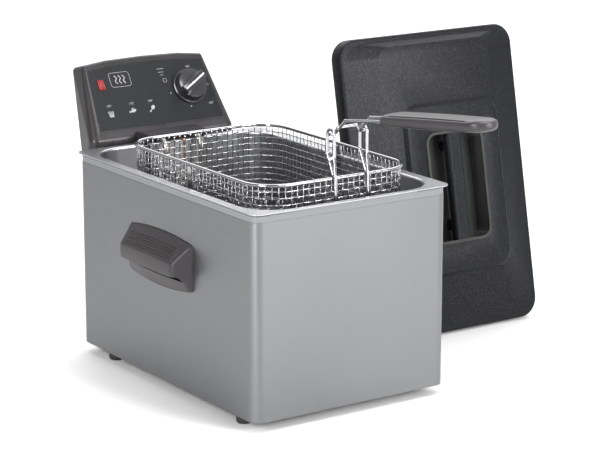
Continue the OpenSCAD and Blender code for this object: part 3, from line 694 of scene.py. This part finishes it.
def carry_handle(node, name, sign):
    """A hooded finger grip: bowed slope with ribs, front band, cheeks, back plate and lip."""
    low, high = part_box(node)
    base = (low.x if sign > 0 else high.x, sign)
    half = (high.y - low.y) / 2 - 0.5 * MM
    top, foot = high.z - 4.5 * MM, low.z - 4 * MM
    edge = top - HANDLE_SLOPE
    band_foot = edge - HANDLE_BAND
    rings = []
    for i in range(4, SLOPE_ROWS + 1):
        t = i / SLOPE_ROWS
        ring = handle_ring(lambda bow: between(top, edge, t) + between(BOW_TOP, BOW_EDGE, t) * MM * bow,
                           HANDLE_REACH * t ** 0.9, half, HANDLE_CORNER, base)
        rings.append(ribbed(ring, t, half - RIB_MARGIN, base))
    for t in BAND_STEPS:
        swell = 1 + 0.03 * math.sin(math.pi * t)
        bow_here = between(BOW_EDGE, BOW_BAND, t) * MM
        rings.append(handle_ring(lambda bow: between(edge, band_foot, t) + bow_here * bow,
                                 HANDLE_REACH * swell, half, HANDLE_CORNER, base))
    for t in LIP_STEPS:
        out = between(HANDLE_REACH, 1.2 * HANDLE_WALL, math.sqrt(1 - (1 - t) ** 2))
        out += 3.5 * MM * t * (1 - t ** 3)
        bow_here = between(BOW_BAND, BOW_FOOT, t) * MM
        rings.append(handle_ring(lambda bow: between(band_foot, foot + 5.5 * MM, t) + bow_here * bow,
                                 out, half, HANDLE_CORNER, base))
    outer = loft(name + "_outer", rings)
    cutters = handle_cutters(name, top, edge, band_foot, half, base)
    steps = []
    for cutter in cutters:
        steps.append(("BOOLEAN", {"operation": "DIFFERENCE", "solver": "EXACT", "object": cutter}))
    steps.append(("BEVEL", {"width": 0.6 * MM, "segments": 2, "limit_method": "ANGLE",
                            "angle_limit": math.radians(50)}))
    mesh = applied(outer, *steps)
    for cutter in cutters:
        bpy.data.objects.remove(cutter)
    smooth(mesh, 42)
    piece(name, mesh, "casing", "handle_plastic", replaces=(node,))


carry_handle("left_carry_handle", "left_handle_shell", -1)
carry_handle("right_carry_handle", "right_handle_shell", 1)
softened("thermostat_knob", "knob_cap", 0.5)
softened("lid_panel", "lid_shell", 1.2, 20)

# ---- Panel print ----

PRINT_LOW = 0.16
PRINT_HIGH = 0.26


class Print:
    """Flat ink shapes on the sloping panel, gathered into one mesh. Sizes in mm."""

    def __init__(self):
        self.points = []
        self.faces = []

    def polygon(self, outline):
        count = len(outline)
        first = len(self.points)
        for z in (PRINT_LOW, PRINT_HIGH):
            self.points += [PANEL @ Vector((x, y, z)) for x, y in outline]
        self.faces.append(tuple(first + k for k in reversed(range(count))))
        self.faces.append(tuple(first + count + k for k in range(count)))
        for k in range(count):
            n = (k + 1) % count
            self.faces.append((first + k, first + n, first + count + n, first + count + k))

    def disc(self, x, y, rx, ry=None, turn=0.0, sides=20):
        ry = ry or rx
        c, s = math.cos(turn), math.sin(turn)
        outline = []
        for k in range(sides):
            a = 2 * math.pi * k / sides
            u, v = rx * math.cos(a), ry * math.sin(a)
            outline.append((x + c * u - s * v, y + s * u + c * v))
        self.polygon(outline)

    def stroke(self, line, width):
        """A line of constant width through 2D points."""
        left, right = [], []
        for i, (x, y) in enumerate(line):
            x0, y0 = line[max(i - 1, 0)]
            x1, y1 = line[min(i + 1, len(line) - 1)]
            size = math.hypot(x1 - x0, y1 - y0)
            nx, ny = -(y1 - y0) / size * width / 2, (x1 - x0) / size * width / 2
            left.append((x + nx, y + ny))
            right.append((x - nx, y - ny))
        for i in range(len(line) - 1):
            self.polygon([right[i], right[i + 1], left[i + 1], left[i]])

    def text(self, words, x, y, size):
        data = bpy.data.curves.new("number", "FONT")
        data.body = words
        data.size = size
        data.align_x = "CENTER"
        data.align_y = "CENTER"
        data.extrude = (PRINT_HIGH - PRINT_LOW) / 2
        holder = bpy.data.objects.new("number", data)
        bpy.context.scene.collection.objects.link(holder)
        bpy.context.view_layer.update()
        shape = holder.evaluated_get(bpy.context.evaluated_depsgraph_get())
        mesh = bpy.data.meshes.new_from_object(shape)
        first = len(self.points)
        middle = (PRINT_HIGH + PRINT_LOW) / 2
        self.points += [PANEL @ (v.co + Vector((x, y, middle))) for v in mesh.vertices]
        self.faces += [tuple(first + k for k in face.vertices) for face in mesh.polygons]
        bpy.data.objects.remove(holder)

    def finish(self, name):
        mesh = mesh_from(name, self.points, self.faces, rounded=False)
        piece(name, mesh, "control_unit", "pointer_white", INK)


def fries_icon(ink, x, y):
    for k in range(-2, 3):
        lean = 0.14 * k
        foot = (x + 0.9 * k, y - 3)
        head = (foot[0] + 5.5 * math.sin(lean), foot[1] + (5.2 + 0.5 * (k % 2)) * math.cos(lean))
        ink.stroke([foot, head], 0.75)
    ink.polygon([(x - 2.6, y - 4.4), (x + 2.6, y - 4.4), (x + 3.1, y - 1.8), (x - 3.1, y - 1.8)])


def fish_icon(ink, x, y):
    ink.disc(x, y, 3.6, 1.7, 0.25)
    ink.polygon([(x - 3.2, y - 0.9), (x - 5.6, y + 0.5), (x - 5.0, y - 2.8)])
    ink.disc(x - 0.6, y + 2.6, 2.2, 0.45, 0.25)


def drumstick_icon(ink, x, y):
    ink.disc(x + 1.0, y + 0.8, 2.8, 2.1, 0.8)
    ink.stroke([(x - 0.6, y - 0.8), (x - 3.2, y - 3.4)], 0.9)
    ink.disc(x - 3.6, y - 3.1, 0.8)
    ink.disc(x - 2.9, y - 3.8, 0.8)


def heat_icon(ink, x, y):
    """Three rising waves in a plain rounded frame."""
    for k in (-1, 0, 1):
        wave = [(x + 5 * k + 1.0 * math.sin(v * 0.9), y + v) for v in [0.5 * i - 5 for i in range(21)]]
        ink.stroke(wave, 1.1)
    frame_line = []
    for at, _ in rounded_path(25, 17, 3, 1.2):
        frame_line.append((x + at.x, y + at.y))
    ink.stroke(frame_line + frame_line[:1], 0.45)


SYMBOLS = ((-59, 22, "150\u00b0", fries_icon), (-31, 22, "170\u00b0", fish_icon),
           (-7, 22.5, "190\u00b0", drumstick_icon))
DIAL_NUMBERS = ((52.5, 66, "190\u00b0"), (70, 42, "170\u00b0"), (68, 20, "150\u00b0"))
DIAL_DOTS = ((42, 19), (21.6, 37))
DIAL_LINES = ((67, 4.2), (63, 3.0), (59.5, 2.2))  # height on the panel and half length


def panel_print():
    """Everything printed on the panel, in mm on its face."""
    ink = Print()
    for x, y, words, icon in SYMBOLS:
        icon(ink, x, y)
        ink.text(words, x, y + 8.5, 3.6)
    heat_icon(ink, -36, 60)
    for x, y, words in DIAL_NUMBERS:
        ink.text(words, x, y, 3.2)
    for x, y in DIAL_DOTS:
        ink.disc(x, y, 0.7)
    for y, half in DIAL_LINES:
        ink.stroke([(17 - half, y), (17 + half, y)], 0.5)
    ring_line = [(at.x + 19, at.y + 53) for at, _ in rounded_path(4.2, 4.2, 1.4, 0.5)]
    ink.stroke(ring_line + ring_line[:1], 0.4)
    ink.finish("panel_print")


panel_print()

# ---- Camera, light and floor ----


CAMERA_PLACE = (-1.2679, -1.9512, 0.7285)
CAMERA_LENS = 138.28
CAMERA_DOWN = 14.012  # degrees below level
CAMERA_RIGHT = 34.102  # degrees right of straight ahead, along +Y
FLOOR_HALF = 12.0


def make_camera():
    camera = bpy.data.objects.new("camera", bpy.data.cameras.new("camera"))
    bpy.context.scene.collection.objects.link(camera)
    camera.data.sensor_width = 36
    camera.data.lens = CAMERA_LENS
    camera.data.clip_start = 0.1
    camera.data.clip_end = 50
    camera.location = CAMERA_PLACE
    camera.rotation_euler = (math.radians(90 - CAMERA_DOWN), 0, math.radians(-CAMERA_RIGHT))
    bpy.context.scene.camera = camera


def make_light(name, place, target, width, height, power):
    """A white area light that faces target. Sizes in metres, power in watts."""
    data = bpy.data.lights.new(name, "AREA")
    data.shape = "RECTANGLE"
    data.size = width
    data.size_y = height
    data.energy = power
    light = bpy.data.objects.new(name, data)
    bpy.context.scene.collection.objects.link(light)
    light.visible_camera = False
    light.location = place
    light.rotation_euler = (Vector(target) - Vector(place)).to_track_quat("-Z", "Y").to_euler()


def make_world():
    """Soft white studio, brighter towards the back right than on the left."""
    world = bpy.data.worlds.new("studio")
    bpy.context.scene.world = world
    world.use_nodes = True
    tree = world.node_tree
    background = tree.nodes["Background"]
    coords = tree.nodes.new("ShaderNodeTexCoord")
    facing = tree.nodes.new("ShaderNodeVectorMath")
    facing.operation = "DOT_PRODUCT"
    facing.inputs[1].default_value = (0.86, 0.48, 0.17)
    span = tree.nodes.new("ShaderNodeMapRange")
    for key, value in (("From Min", -0.3), ("From Max", 0.95), ("To Min", 0.26), ("To Max", 0.95)):
        span.inputs[key].default_value = value
    tree.links.new(coords.outputs["Generated"], facing.inputs[0])
    tree.links.new(facing.outputs["Value"], span.inputs["Value"])
    tree.links.new(span.outputs["Result"], background.inputs["Strength"])
    background.inputs["Color"].default_value = (1, 1, 1, 1)


def make_floor():
    turns = ((-1, -1), (1, -1), (1, 1), (-1, 1))
    corners = [(x * FLOOR_HALF, y * FLOOR_HALF, FLOOR_Z) for x, y in turns]
    mesh = mesh_from("floor", corners, [(0, 1, 2, 3)], rounded=False)
    floor = bpy.data.objects.new("floor", mesh)
    bpy.context.scene.collection.objects.link(floor)
    mesh.materials.append(pale_floor())


make_camera()
make_world()
make_floor()
make_light("key", (0.75, -2.0, 0.85), (0, -0.15, 0.12), 0.9, 0.7, 52)
make_light("top", (0.10, -0.45, 0.95), (0.2, 0.05, 0.25), 0.3, 0.3, 4)
make_light("strip", (-1.70, -0.70, 0.95), (0, 0.15, 0.24), 0.4, 0.9, 34)
make_light("corner", (-1.50, -1.00, 0.12), (-0.116, -0.17, 0.1), 0.15, 0.2, 4)
make_light("backdrop", (1.7, 2.4, 3.0), (1.2, 1.8, 0), 4.5, 4.5, 165)
bpy.context.scene.view_settings.view_transform = "Standard"
